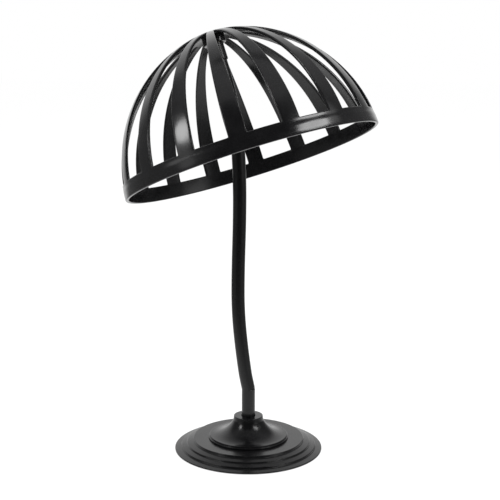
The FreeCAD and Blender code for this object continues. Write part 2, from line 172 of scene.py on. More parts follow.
# Pale patches: degrees to the right of straight behind, degrees up, half angle of the bright middle, half angle
# at which the soft edge ends, and brightness
PATCHES = (
    (-122, 7, 3, 10, 0.7),
    (-106, 14, 3, 11, 1.0),
    (91, 33, 1, 8, 1.0),
    (120, 10, 5, 20, 0.8),
)

# The camera's film in millimetres, and the nearest that it sees
SENSOR_WIDTH = 36
NEAREST = 10 * MM

# Lamps: name, which surfaces they light, place, width and height in metres, and watts. All face one point.
AIM = (0, 0, 0.15)
LAMPS = (
    ("key_left", "matt", (-0.9, -0.7, 1.0), 0.6, 0.6, 7.0),
    ("key_right", "matt", (0.9, -0.7, 1.0), 0.6, 0.6, 7.0),
    ("top", "matt", (0.0, 0.2, 1.4), 1.2, 1.2, 12.0),
    ("softbox_left", "gloss", (-0.466, -0.254, 0.46), 0.16, 0.16, 0.6),
    ("softbox_right", "gloss", (0.56, -0.34, 0.64), 0.42, 0.17, 1.5),
)


# The frame: hinge points of the neck and the direction of each of its stretches

HINGES = [Vector(joint["pos_m"]) for joint in frame["joints"]]
LINKS = [joint["child"] for joint in frame["joints"]]
FOOT_BODY = frame["joints"][0]["parent"]
HEAD_BODY = LINKS[-1]


def middle_of(node):
    """Mean place of a turned node's points, which lies on its axis."""
    points = frame["nodes"][node].data.vertices
    total = Vector()
    for point in points:
        total += point.co
    return total / len(points)


HEAD_AXIS = (middle_of("crown_insert") - HINGES[-1]).normalized()
STRETCH = (HINGES[1] - HINGES[0]).length
DIRECTIONS = [(above - below).normalized() for below, above in zip(HINGES, HINGES[1:])] + [HEAD_AXIS]


# Sizes and colours that a user would change

def linear(code):
    """Linear red, green and blue of an sRGB colour written as hex."""
    shades = []
    for start in (1, 3, 5):
        share = int(code[start:start + 2], 16) / 255
        shades.append(share / 12.92 if share <= 0.04045 else ((share + 0.055) / 1.055) ** 2.4)
    return tuple(shades)


def length(name, description, millimetres):
    """A property for a length, stored in metres."""
    return bpy.props.FloatProperty(
        name=name, description=description, default=millimetres * MM, min=0.0, unit="LENGTH", precision=5)


def colour(name, description, code):
    """A property for a colour, stored as linear values."""
    return bpy.props.FloatVectorProperty(
        name=name, description=description, default=linear(code), min=0.0, max=1.0, subtype="COLOR")


class HatStandDome(bpy.types.PropertyGroup):
    """Sizes of the ribbed dome, along its own axis from the middle of its rim."""

    rim_radius: length("Rim radius", "Outside of the band at its lower edge", 90.2)
    band_top_radius: length("Band top radius", "Outside of the band where the ribs start", 89.3)
    band_height: length("Band height", "From the rim to the foot of the ribs", 10.5)
    band_step: length("Band step", "Soft step out on the band, under the ribs", 0.22)
    band_roll: length("Band roll", "How far the band rolls back in towards the rim", 0.2)
    height: length("Height", "From the rim to the crown", 94.3)
    arc_radius: length("Arc radius", "Radius of the dome's outline from band to crown", 97.4)
    wall: length("Wall", "Thickness of the moulding", 2.2)
    edge_round: length("Edge round", "Round on every edge of the moulding", 0.7)
    rib_count: bpy.props.IntProperty(
        name="Ribs", description="Number of ribs round the dome", default=16, min=4)
    rib_root: length("Rib root", "Width of a rib just above its foot", 12.0)
    rib_middle: length("Rib middle", "Width of a rib halfway up the arc", 8.0)
    rib_crown: length("Rib crown", "Width of a rib where it meets the hub", 5.0)
    gap_end_round: length("Gap end round", "Round end of a gap at the hub", 0.8)
    boss_radius: length("Boss radius", "Boss under the crown", 8.04)
    boss_bore: length("Boss bore", "Bore of the boss for the insert", 5.64)
    boss_depth: length("Boss depth", "From the crown to the mouth of the boss", 7.9)
    rib_turn: bpy.props.FloatProperty(
        name="Rib turn", description="Turn of the ribs about the dome's axis",
        default=math.radians(-0.3), subtype="ANGLE")
    tint: colour("Plastic", "Colour of the moulded plastic", "#0d0d0e")


class HatStandNeck(bpy.types.PropertyGroup):
    """Sizes of the sleeved neck."""

    radius: length("Radius", "Outside of the sleeve", 4.75)
    core_radius: length("Core radius", "Bendable core inside the sleeve", 2.95)
    sleeve_start: length("Sleeve start", "Height at which the sleeve leaves the ferrule", 44.3)
    cup_floor: length("Cup floor", "Solid end of the upper ferrule", 2.4)
    tint: colour("Sleeve", "Colour of the vinyl sleeve", "#070708")
    ferrule_tint: colour("Ferrule", "Colour of the painted ferrule", "#09090a")


class HatStandFoot(bpy.types.PropertyGroup):
    """Sizes of the stepped disc and the collar on it."""

    brim_radius: length("Brim radius", "Outside of the disc", 53.1)
    brim_lift: length("Brim lift", "Gap between the brim and the table", 0.3)
    brim_edge_height: length("Brim edge", "Height of the disc's outer edge", 1.3)
    brim_tread: length("Brim tread", "Width of the lowest tread", 4.4)
    brim_fall: length("Brim fall", "How far the lowest tread falls outwards", 0.8)
    outer_riser: length("Outer riser", "Height of the first step", 1.3)
    outer_tread: length("Outer tread", "Width of the tread on the first step", 3.7)
    middle_riser: length("Middle riser", "Height of the second step", 1.1)
    middle_tread: length("Middle tread", "Width of the tread on the second step", 4.2)
    inner_riser: length("Inner riser", "Height of the third step", 1.7)
    tread_fall: length("Tread fall", "How far the upper treads fall outwards", 1.05)
    riser_run: length("Riser run", "Slope of a riser over its height", 0.4)
    disc_wall: length("Disc wall", "Thickness over the ballast plate", 1.8)
    disc_side_wall: length("Disc side wall", "Thickness round the ballast plate", 1.9)
    pad_inset: length("Pad inset", "From the brim to the pad's edge", 5.6)
    pad_thickness: length("Pad thickness", "Pad under the disc", 1.0)
    stud_bore: length("Stud bore", "Hole for the ferrule's stud", 3.05)
    skirt_inset: length("Skirt inset", "From the disc's inner edge to the collar's skirt", 11.2)
    skirt_height: length("Skirt height", "Height of the collar's skirt", 2.3)
    lip_height: length("Lip height", "Height of the lower of the skirt's two lips", 1.05)
    lip_step: length("Lip step", "How much wider the lower lip is", 0.8)
    lip_fall: length("Lip fall", "How far the lower lip's top falls outwards", 0.08)
    collar_rise: length("Collar rise", "Height of the collar over the disc", 16.2)
    collar_neck_drop: length("Collar neck", "Straight part under the collar's top", 3.0)
    collar_top_radius: length("Collar top", "Outside of the collar's flat top", 10.4)
    collar_waist_flare: length("Waist flare", "How much wider the collar is under its neck", 0.4)
    collar_hole: length("Collar hole", "Hole that the ferrule stands in", 5.1)
    collar_seat_rise: length("Collar seat", "Depth at which the ferrule rests, over the disc", 5.7)
    flare_radius: length("Flare radius", "Hollow curve of the trumpet", 19.0)
    collar_wall: length("Collar wall", "Thickness of the trumpet", 1.8)
    boss_wall: length("Boss wall", "Tube inside the collar", 2.2)
    edge_round: length("Edge round", "Round on the edges of disc and collar", 0.3)
    tint: colour("Plastic", "Colour of the moulded plastic", "#09090a")


class HatStandStage(bpy.types.PropertyGroup):
    """Camera, light and floor."""

    camera_place: bpy.props.FloatVectorProperty(
        name="Camera", description="Place of the camera", default=(0.0001, -0.7841, 0.2978),
        unit="LENGTH")
    camera_down: bpy.props.FloatProperty(
        name="Down", description="How far the camera looks down",
        default=math.radians(10.95), subtype="ANGLE")
    camera_right: bpy.props.FloatProperty(
        name="Right", description="How far the camera looks to the right",
        default=math.radians(0.04), subtype="ANGLE")
    camera_roll: bpy.props.FloatProperty(
        name="Roll", description="How far the camera leans to its left",
        default=math.radians(0.11), subtype="ANGLE")
    lens: bpy.props.FloatProperty(
        name="Lens", description="Focal length in millimetres on a 36 mm sensor", default=81.7, min=1.0)
    floor_size: length("Floor", "Side of the floor", 12000)
    floor_tint: colour("Floor", "Colour of the floor", "#fdfdfd")
    floor_glow: bpy.props.FloatProperty(
        name="Floor glow", description="Share of plain white in the floor as the camera sees it",
        default=0.8, min=0.0, max=1.0, subtype="FACTOR")


# Mesh work

def leave_edit():
    """Go back to object mode."""
    if bpy.context.mode != "OBJECT":
        bpy.ops.object.mode_set(mode="OBJECT")


def clear_selection():
    leave_edit()
    bpy.ops.object.select_all(action="DESELECT")


def new_ring(name, count, radius, height):
    """A ring of points about the Z axis, open for editing and selected."""
    clear_selection()
    bpy.ops.mesh.primitive_circle_add(
        vertices=count, radius=radius, fill_type="NOTHING", location=(0, 0, height), enter_editmode=False)
    piece = bpy.context.active_object
    piece.name = name
    piece.data.name = name
    bpy.ops.object.transform_apply(location=True, rotation=True, scale=True)
    bpy.ops.object.mode_set(mode="EDIT")
    bpy.ops.mesh.select_mode(type="VERT")
    bpy.ops.mesh.select_all(action="SELECT")
    return piece


def pick(piece, wanted):
    """Select the points that the test passes, with the edges and faces between them."""
    form = bmesh.from_edit_mesh(piece.data)
    for point in form.verts:
        point.select_set(wanted(point.co))
    form.select_flush_mode()
    form.select_flush(True)
    bmesh.update_edit_mesh(piece.data)


def extrude_to(shift, stretch=(1, 1, 1), pivot=(0, 0, 0)):
    """Extrude what is selected, move it, and stretch it about a pivot."""
    bpy.ops.mesh.extrude_edges_move(TRANSFORM_OT_translate={"value": shift})
    if tuple(stretch) != (1, 1, 1):
        bpy.ops.transform.resize(value=stretch, center_override=pivot)


def turn_up(piece, outline):
    """Carry the selected ring through an outline of (radius, height) that starts where the ring is."""
    for (radius, height), (next_radius, next_height) in zip(outline, outline[1:]):
        grow = next_radius / radius
        extrude_to((0, 0, next_height - height), (grow, grow, 1), (0, 0, next_height))


def turned_solid(name, count, outline):
    """A closed turned solid with a bore, from an outline that ends where it starts."""
    piece = new_ring(name, count, *outline[0])
    turn_up(piece, outline + outline[:1])
    bpy.ops.mesh.select_all(action="SELECT")
    bpy.ops.mesh.remove_doubles(threshold=TOUCH)
    bpy.ops.mesh.normals_make_consistent(inside=False)
    leave_edit()
    return piece


def arc(start, end, radius, side, count):
    """Points after the start up to the end, on an arc.

    Its centre lies to the left of the way from start to end where side is 1, and to the right where it is -1.
    """
    start, end = Vector(start), Vector(end)
    chord = end - start
    reach = math.sqrt(radius ** 2 - (chord.length / 2) ** 2)
    left = Vector((-chord.y, chord.x)).normalized()
    centre = start + chord / 2 + left * side * reach
    first = start - centre
    turn = side * 2 * math.asin(chord.length / 2 / radius)
    places = []
    for step in range(1, count + 1):
        angle = turn * step / count
        places.append((
            centre.x + first.x * math.cos(angle) - first.y * math.sin(angle),
            centre.y + first.x * math.sin(angle) + first.y * math.cos(angle),
        ))
    return places


def select_only(piece):
    """Select one piece and make it the one that operators act on."""
    clear_selection()
    piece.select_set(True)
    bpy.context.view_layer.objects.active = piece


def finish_mesh(piece, round_width, segments):
    """Round the sharp edges, smooth the rest and keep the broad faces true."""
    select_only(piece)
    rounding = piece.modifiers.new("rounded edges", "BEVEL")
    rounding.limit_method = "ANGLE"
    rounding.angle_limit = SHARP
    rounding.width = round_width
    rounding.segments = segments
    rounding.use_clamp_overlap = False
    bpy.ops.object.modifier_apply(modifier=rounding.name)
    bpy.ops.object.shade_smooth_by_angle(angle=SHARP)
    steady = piece.modifiers.new("steady normals", "WEIGHTED_NORMAL")
    steady.keep_sharp = True
    bpy.ops.object.modifier_apply(modifier=steady.name)


def settle(piece, place):
    """Put a piece at its place in the frame and leave its object at the origin."""
    select_only(piece)
    piece.matrix_world = place
    bpy.ops.object.transform_apply(location=True, rotation=True, scale=True)


# Materials

def add_node(material, kind, settings=None, **links):
    """A node with its settings, and its inputs set to a number, a colour or another node's output.

    An input's name is written in lower case with underscores. One that starts with "input_" is numbered.
    """
    tree = material.node_tree
    node = tree.nodes.new(kind)
    for name, value in (settings or {}).items():
        setattr(node, name, value)
    for name, value in links.items():
        if name.startswith("input_"):
            socket = node.inputs[int(name.removeprefix("input_"))]
        else:
            wanted = name.replace("_", " ")
            socket = next(s for s in node.inputs if s.name.lower() == wanted and s.enabled)
        if isinstance(value, bpy.types.NodeSocket):
            tree.links.new(value, socket)
        else:
            socket.default_value = value
    return node


def new_material(name):
    """A material with an empty node tree."""
    material = bpy.data.materials.new(name)
    material.use_nodes = True
    material.node_tree.nodes.clear()
    return material


def opaque(tint):
    """A colour with full alpha, as a node takes it."""
    return (*tint, 1.0)


def moulded_plastic(name, tint, ior, roughness, spread, ripple_mm, ripple_depth_mm, grain_mm, grain_depth_mm):
    """Injection moulded polystyrene: dark all through, with a slightly uneven gloss.

    The ripple is the faint waviness of a moulded wall, which bends long reflections, and along it the roughness
    varies by its spread. The grain is the mould's own surface. Real grain is finer than a tenth of a millimetre
    and is drawn coarser here, so that it shows.
    """
    material = new_material(name)
    place = add_node(material, "ShaderNodeTexCoord").outputs["Object"]
    ripple = add_node(material, "ShaderNodeTexNoise", vector=place, scale=1 / (ripple_mm * MM),
                      detail=1.0, roughness=0.4)
    grain = add_node(material, "ShaderNodeTexNoise", vector=place, scale=1 / (grain_mm * MM),
                     detail=2.0, roughness=0.6)
    gloss = add_node(material, "ShaderNodeMapRange", value=ripple.outputs["Fac"], from_min=NOISE_LOW,
                     from_max=NOISE_HIGH, to_min=roughness - spread, to_max=roughness + spread)
    waves = add_node(material, "ShaderNodeBump", height=ripple.outputs["Fac"], distance=ripple_depth_mm * MM,
                     strength=1.0)
    skin = add_node(material, "ShaderNodeBump", height=grain.outputs["Fac"], distance=grain_depth_mm * MM,
                    strength=1.0, normal=waves.outputs["Normal"])
    shade = add_node(material, "ShaderNodeMapRange", value=ripple.outputs["Fac"], from_min=NOISE_LOW,
                     from_max=NOISE_HIGH, to_min=1 - PLASTIC_TONE, to_max=1 + PLASTIC_TONE)
    tone = add_node(material, "ShaderNodeMix", TINTED,
                    input_0=1.0, input_6=opaque(tint), input_7=shade.outputs["Result"])
    shader = add_node(material, "ShaderNodeBsdfPrincipled", base_color=tone.outputs[2],
                      roughness=gloss.outputs["Result"], ior=ior, normal=skin.outputs["Normal"])
    add_node(material, "ShaderNodeOutputMaterial", surface=shader.outputs["BSDF"])
    return material


def plain_finish(name, tint, metallic, roughness, grain_mm, depth_mm, contrast):
    """A finish with a fine grain in its tone, gloss and surface, which vary by the contrast.

    The grain is drawn coarser than the real one, which is too fine to show.
    """
    material = new_material(name)
    place = add_node(material, "ShaderNodeTexCoord").outputs["Object"]
    grain = add_node(material, "ShaderNodeTexNoise", vector=place, scale=1 / (grain_mm * MM),
                     detail=3.0, roughness=0.6)
    shade = add_node(material, "ShaderNodeMapRange", value=grain.outputs["Fac"], from_min=NOISE_LOW,
                     from_max=NOISE_HIGH, to_min=1 - contrast, to_max=1 + contrast)
    tone = add_node(material, "ShaderNodeMix", TINTED,
                    input_0=1.0, input_6=opaque(tint), input_7=shade.outputs["Result"])
    gloss = add_node(material, "ShaderNodeMapRange", value=grain.outputs["Fac"], from_min=NOISE_LOW,
                     from_max=NOISE_HIGH, to_min=roughness * (1 - contrast), to_max=roughness * (1 + contrast))
    skin = add_node(material, "ShaderNodeBump", height=grain.outputs["Fac"], distance=depth_mm * MM,
                    strength=1.0)
    shader = add_node(material, "ShaderNodeBsdfPrincipled", base_color=tone.outputs[2], metallic=metallic,
                      roughness=gloss.outputs["Result"], normal=skin.outputs["Normal"])
    add_node(material, "ShaderNodeOutputMaterial", surface=shader.outputs["BSDF"])
    return material


def paint(piece, material):
    """Give a piece one material all over."""
    piece.data.materials.clear()
    piece.data.materials.append(material)


# Pieces

def dome_outline(dome, rows):
    """Radius and height of rows from the top of the band to the boss, evenly along the arc."""
    start = (dome.band_top_radius, dome.band_height)
    end = (dome.boss_radius, dome.height)
    return [start] + arc(start, end, dome.arc_radius, 1, rows)


def band_outline(dome):
    """Radius and height of even rows from the rim to the foot of the ribs."""
    rise = dome.band_height / BAND_ROWS
    run = (dome.band_top_radius - dome.rim_radius) / BAND_ROWS
    return [(dome.rim_radius + run * row, rise * row) for row in range(BAND_ROWS + 1)]


def shape_band(piece, dome):
    """Swell the outside of the band: a soft step under the ribs, and a roll towards the rim."""
    bpy.ops.object.mode_set(mode="EDIT")
    bpy.ops.mesh.select_mode(type="VERT")
    for radius, height in band_outline(dome):
        down = 1 - height / dome.band_height
        along_step = min(max((down - STEP_START) / STEP_RUN, 0.0), 1.0)
        step = along_step ** 2 * (3 - 2 * along_step)
        roll = max(0.0, (down - ROLL_START) / ROLL_RUN) ** 2
        swell = dome.band_step * (step - down) - dome.band_roll * (roll - down)
        pick(piece, lambda place: abs(place.z - height) < TOUCH
             and math.hypot(place.x, place.y) > radius - dome.wall / 2)
        bpy.ops.transform.resize(value=(1 + swell / radius, 1 + swell / radius, 1), center_override=(0, 0, 0))
    leave_edit()


def rib_half_width(dome, radius):
    """Half of a rib's width at this distance from the axis: an even curve through its three widths."""
    places = (
        (dome.boss_radius * RIB_CROWN_AT, dome.rib_crown / 2),
        (dome.band_top_radius * RIB_MIDDLE_AT, dome.rib_middle / 2),
        (dome.band_top_radius - RIB_ROOT_INSET, dome.rib_root / 2),
    )
    total = 0.0
    for number, (at, width) in enumerate(places):
        weight = width
        # A width counts in full at its own place, and not at all at the two others
        for other, (elsewhere, _) in enumerate(places):
            if other != number:
                weight *= (radius - elsewhere) / (at - elsewhere)
        total += weight
    return min(total, dome.rib_root / 2)


def rib_rows(dome):
    """Rows of one rib above the band, as (radius, height, half width).

    The last two widen to the whole sector, which closes the gap at the hub with a round end.
    """
    sector = math.pi / dome.rib_count
    fine = dome_outline(dome, FINE_STEPS)
    run = 0.0
    table = [(0.0, *fine[0])]
    for (radius, height), (next_radius, next_height) in zip(fine, fine[1:]):
        run += math.hypot(next_radius - radius, next_height - height)
        table.append((run, next_radius, next_height))

    def at_run(wanted):
        return min(table, key=lambda entry: abs(entry[0] - wanted))[1:]

    def half_gap(radius):
        return radius * math.tan(sector) - rib_half_width(dome, radius)

    end = next(entry for entry in table if half_gap(entry[1]) <= dome.gap_end_round)
    rows = []
    for step in range(1, RIB_ROWS + 1):
        radius, height = at_run(end[0] * step / RIB_ROWS)
        rows.append((radius, height, rib_half_width(dome, radius)))
    for angle in (math.radians(45), math.radians(90)):
        radius, height = at_run(end[0] + dome.gap_end_round * math.sin(angle))
        gap = half_gap(end[1]) * math.cos(angle)
        rows.append((radius, height, radius * math.sin(sector) - gap * math.cos(sector)))
    return rows


def model_dome(dome):
    """One rib with its share of the band and hub, repeated round the axis, then given its wall."""
    sector = math.pi / dome.rib_count
    piece = new_ring("dome", COLUMNS * dome.rib_count, dome.rim_radius, 0.0)
    pick(piece, lambda place: abs(math.atan2(place.y, place.x)) > sector + TOUCH)
    bpy.ops.mesh.delete(type="VERT")
    bpy.ops.mesh.select_all(action="SELECT")
    turn_up(piece, band_outline(dome))
    rib_share = RIB_COLUMNS / COLUMNS
    edge = sector * rib_share + TOUCH
    pick(piece, lambda place: place.z > dome.band_height - TOUCH and abs(math.atan2(place.y, place.x)) < edge)

    def bow(radius, half_width):
        """How far the middle of a row bulges out past its ends."""
        return radius - math.sqrt(radius ** 2 - half_width ** 2)

    radius, height = dome.band_top_radius, dome.band_height
    half_width = radius * math.sin(sector * rib_share)
    root = dome.rib_root / 2
    bpy.ops.transform.resize(value=(bow(radius, root) / bow(radius, half_width), root / half_width, 1),
                             center_override=(radius, 0, height))
    half_width = root
    for next_radius, next_height, next_half in rib_rows(dome):
        stretch = (bow(next_radius, next_half) / bow(radius, half_width), next_half / half_width, 1)
        extrude_to((next_radius - radius, 0, next_height - height), stretch, (next_radius, 0, next_height))
        radius, height, half_width = next_radius, next_height, next_half
    hub = [entry for entry in dome_outline(dome, HUB_ROWS) if entry[0] < radius - HUB_MARGIN]
    crown = [(dome.boss_radius * ring / CROWN_RINGS, dome.height) for ring in range(CROWN_RINGS - 1, 0, -1)]
    turn_up(piece, [(radius, height)] + hub + crown)

    bpy.ops.mesh.select_all(action="SELECT")
    copies = dome.rib_count - 1
    bpy.ops.mesh.spin(steps=copies, dupli=True, angle=FULL_TURN * copies / dome.rib_count,
                      center=(0, 0, 0), axis=(0, 0, 1))
    bpy.ops.mesh.select_all(action="SELECT")
    bpy.ops.mesh.remove_doubles(threshold=TOUCH)
    pick(piece, lambda place: math.hypot(place.x, place.y) < dome.boss_radius / CROWN_RINGS + TOUCH)
    bpy.ops.mesh.edge_face_add()
    bpy.ops.mesh.poke()
    bpy.ops.mesh.select_all(action="SELECT")
    bpy.ops.mesh.normals_make_consistent(inside=False)
    leave_edit()
    # On an open shell the recalculated faces may all point inwards
    top = max(piece.data.polygons, key=lambda face: face.center.z)
    if top.normal.z < 0:
        bpy.ops.object.mode_set(mode="EDIT")
        bpy.ops.mesh.flip_normals()
        leave_edit()
    wall = piece.modifiers.new("wall", "SOLIDIFY")
    wall.thickness = dome.wall
    wall.offset = -1
    wall.use_even_offset = True
    bpy.ops.object.modifier_apply(modifier=wall.name)
    shape_band(piece, dome)
    finish_mesh(piece, dome.edge_round, segments=3)
    return piece


def model_boss(dome):
    """Round boss under the crown, let into the wall."""
    mouth = dome.height - dome.boss_depth
    root = dome.height - dome.wall / 2
    piece = turned_solid("boss", BOSS_POINTS, [
        (dome.boss_bore, mouth), (dome.boss_radius, mouth), (dome.boss_radius, root), (dome.boss_bore, root)])
    finish_mesh(piece, dome.edge_round, segments=2)
    return piece


def head_place(dome):
    """Place of the dome: the middle of its rim, with Z to the crown, and X to the right and square to the view."""
    across = Vector((0, 1, 0)).cross(HEAD_AXIS).normalized()
    deep = HEAD_AXIS.cross(across)
    mouth = HINGES[-1] + HEAD_AXIS * STRETCH
    rim = mouth - HEAD_AXIS * (dome.height - dome.boss_depth)
    turn = Matrix((across, deep, HEAD_AXIS)).transposed().to_4x4()
    return Matrix.Translation(rim) @ turn @ Matrix.Rotation(dome.rib_turn, 4, "Z")


def model_tube(name, start, end, start_way, end_way, radius, wall):
    """A tube that bends evenly from one place and direction to another. A wall of 0 makes it a solid bar."""
    clear_selection()
    bpy.ops.curve.primitive_bezier_curve_add(location=(0, 0, 0), enter_editmode=False)
    curve = bpy.context.active_object
    curve.name = name
    # Handles a third of the way long give an even bend
    reach = (end - start).length / 3
    first, last = curve.data.splines[0].bezier_points
    for knot, place, way in ((first, start, start_way), (last, end, end_way)):
        knot.handle_left_type = "FREE"
        knot.handle_right_type = "FREE"
        knot.co = place
        knot.handle_left = place - way * reach
        knot.handle_right = place + way * reach
    curve.data.resolution_u = NECK_ROWS
    curve.data.bevel_depth = radius
    curve.data.bevel_resolution = NECK_ROUND
    curve.data.use_fill_caps = wall == 0
    bpy.ops.object.convert(target="MESH")
    piece = bpy.context.active_object
    piece.name = name
    piece.data.name = name
    bpy.ops.object.mode_set(mode="EDIT")
    bpy.ops.mesh.select_all(action="SELECT")
    bpy.ops.mesh.remove_doubles(threshold=TOUCH)
    bpy.ops.mesh.normals_make_consistent(inside=False)
    leave_edit()
    if wall > 0:
        hollow = piece.modifiers.new("wall", "SOLIDIFY")
        hollow.thickness = wall
        hollow.offset = -1
        bpy.ops.object.modifier_apply(modifier=hollow.name)
    bpy.ops.object.shade_smooth_by_angle(angle=SHARP)
    return piece


def step_corners(foot):
    """Foot and top edge of each riser of the disc, from the brim inwards, as (radius, height)."""
    steps = (
        (foot.brim_tread, foot.brim_fall, foot.outer_riser),
        (foot.outer_tread, foot.tread_fall, foot.middle_riser),
        (foot.middle_tread, foot.tread_fall, foot.inner_riser),
    )
    radius, height = foot.brim_radius, foot.brim_edge_height
    corners = []
    for tread, fall, riser in steps:
        radius -= tread
        height += fall
        corners.append((radius, height))
        radius -= foot.riser_run
        height += riser
        corners.append((radius, height))
    return corners


def model_disc(foot):
    """The stepped disc, with the hollow for the ballast plate and the ledge round the pad under it."""
    corners = step_corners(foot)
    inner, top = corners[-1]
    cavity = inner - foot.disc_side_wall
    ceiling = top - foot.disc_wall
    ledge = foot.brim_radius - foot.pad_inset + PAD_GAP
    outline = [
        (foot.stud_bore, ceiling), (cavity, ceiling), (cavity, foot.pad_thickness),
        (ledge, foot.pad_thickness), (ledge, foot.brim_lift), (foot.brim_radius, foot.brim_lift),
        (foot.brim_radius, foot.brim_edge_height), *corners,
        (inner - TOP_RING_INSET, top), (foot.stud_bore, top),
    ]
    piece = turned_solid("stepped_disc", FOOT_POINTS, outline)
    finish_mesh(piece, foot.edge_round, segments=3)
    return piece


def model_collar(foot):
    """The trumpet-shaped collar: a thin shell with two lips at its skirt, and the tube inside it."""
    inner, disc_top = step_corners(foot)[-1]
    skirt = inner - foot.skirt_inset
    skirt_top = disc_top + foot.skirt_height
    lip, brow = skirt + foot.lip_step / 2, skirt - foot.lip_step / 2
    top = disc_top + foot.collar_rise
    waist = foot.collar_top_radius + foot.collar_waist_flare
    waist_height = top - foot.collar_neck_drop
    boss = foot.collar_hole + foot.boss_wall
    # Over the end of the hollow, the shell and the tube are one
    shell_end = waist_height - 2 * foot.collar_wall
    shell_top = (waist - foot.collar_wall / 2, shell_end)
    shell_foot = (skirt - foot.collar_wall, skirt_top - foot.collar_wall)
    outline = [
        (foot.stud_bore, disc_top), (boss, disc_top), (boss, shell_end), shell_top,
        *arc(shell_top, shell_foot, foot.flare_radius + foot.collar_wall, 1, INNER_FLARE_ROWS),
        (skirt - foot.collar_wall, disc_top), (lip, disc_top),
        (lip, disc_top + foot.lip_height), (brow, disc_top + foot.lip_height + foot.lip_fall),
        (brow, skirt_top),
        *arc((brow, skirt_top), (waist, waist_height), foot.flare_radius, -1, FLARE_ROWS),
        (foot.collar_top_radius, top), (foot.collar_hole, top),
        (foot.collar_hole, disc_top + foot.collar_seat_rise), (foot.stud_bore, disc_top + foot.collar_seat_rise),
    ]
    piece = turned_solid("trumpet_collar", FOOT_POINTS, outline)
    finish_mesh(piece, foot.edge_round, segments=3)
    return piece


# Studio

def studio_walls(owner, way, left_turn):
    """Brightness of the studio round the object: a white backdrop behind, dim sides, and a dark front."""
    parts = add_node(owner, "ShaderNodeSeparateXYZ", vector=way)
    turn = add_node(owner, "ShaderNodeMath", {"operation": "ARCTAN2"},
                    input_0=parts.outputs["X"], input_1=parts.outputs["Y"]).outputs["Value"]
    aside = add_node(owner, "ShaderNodeMath", {"operation": "ABSOLUTE"}, input_0=turn).outputs["Value"]
    side = add_node(owner, "ShaderNodeMapRange", SOFT, value=aside, from_min=FRONT_TURNS[0],
                    from_max=FRONT_TURNS[1], to_min=SIDE_LEVEL, to_max=FRONT_LEVEL).outputs["Result"]
    right = add_node(owner, "ShaderNodeMapRange", SOFT, value=turn, from_min=BACKDROP_RIGHT[0],
                     from_max=BACKDROP_RIGHT[1], to_min=1.0, to_max=side).outputs["Result"]
    left = add_node(owner, "ShaderNodeMapRange", SOFT, value=turn, from_min=left_turn - BACKDROP_LEFT_FADE,
                    from_max=left_turn, to_min=side, to_max=right)
    return left.outputs["Result"]


def floor_finish(stage):
    """Matt white paper sweep. The camera sees it as white, darkened only by the object's shadow.

    What the gloss mirrors of it is white under the object and behind it, and dim far off to the front and sides.
    """
    material = new_material("matt_white_sweep")
    matt = add_node(material, "ShaderNodeBsdfDiffuse", color=opaque(stage.floor_tint))
    glow = add_node(material, "ShaderNodeEmission", color=WHITE, strength=1.0)
    path = add_node(material, "ShaderNodeLightPath")
    place = add_node(material, "ShaderNodeTexCoord").outputs["Object"]
    away = add_node(material, "ShaderNodeVectorMath", {"operation": "LENGTH"}, input_0=place)
    level = add_node(material, "ShaderNodeMapRange", SOFT, value=away.outputs["Value"], from_min=FLOOR_FADE[0],
                     from_max=FLOOR_FADE[1], to_min=FLOOR_LEVEL, to_max=studio_walls(material, place, FLOOR_LEFT))
    mirrored = add_node(material, "ShaderNodeEmission", color=WHITE, strength=level.outputs["Result"])
    seen = add_node(material, "ShaderNodeMath", {"operation": "MULTIPLY"},
                    input_0=path.outputs["Is Camera Ray"], input_1=stage.floor_glow)
    mixed = add_node(material, "ShaderNodeMixShader", input_0=seen.outputs["Value"],
                     input_1=matt.outputs["BSDF"], input_2=glow.outputs["Emission"])
    sorted_rays = add_node(material, "ShaderNodeMixShader", input_0=path.outputs["Is Glossy Ray"],
                           input_1=mixed.outputs["Shader"], input_2=mirrored.outputs["Emission"])
    add_node(material, "ShaderNodeOutputMaterial", surface=sorted_rays.outputs["Shader"])
    return material


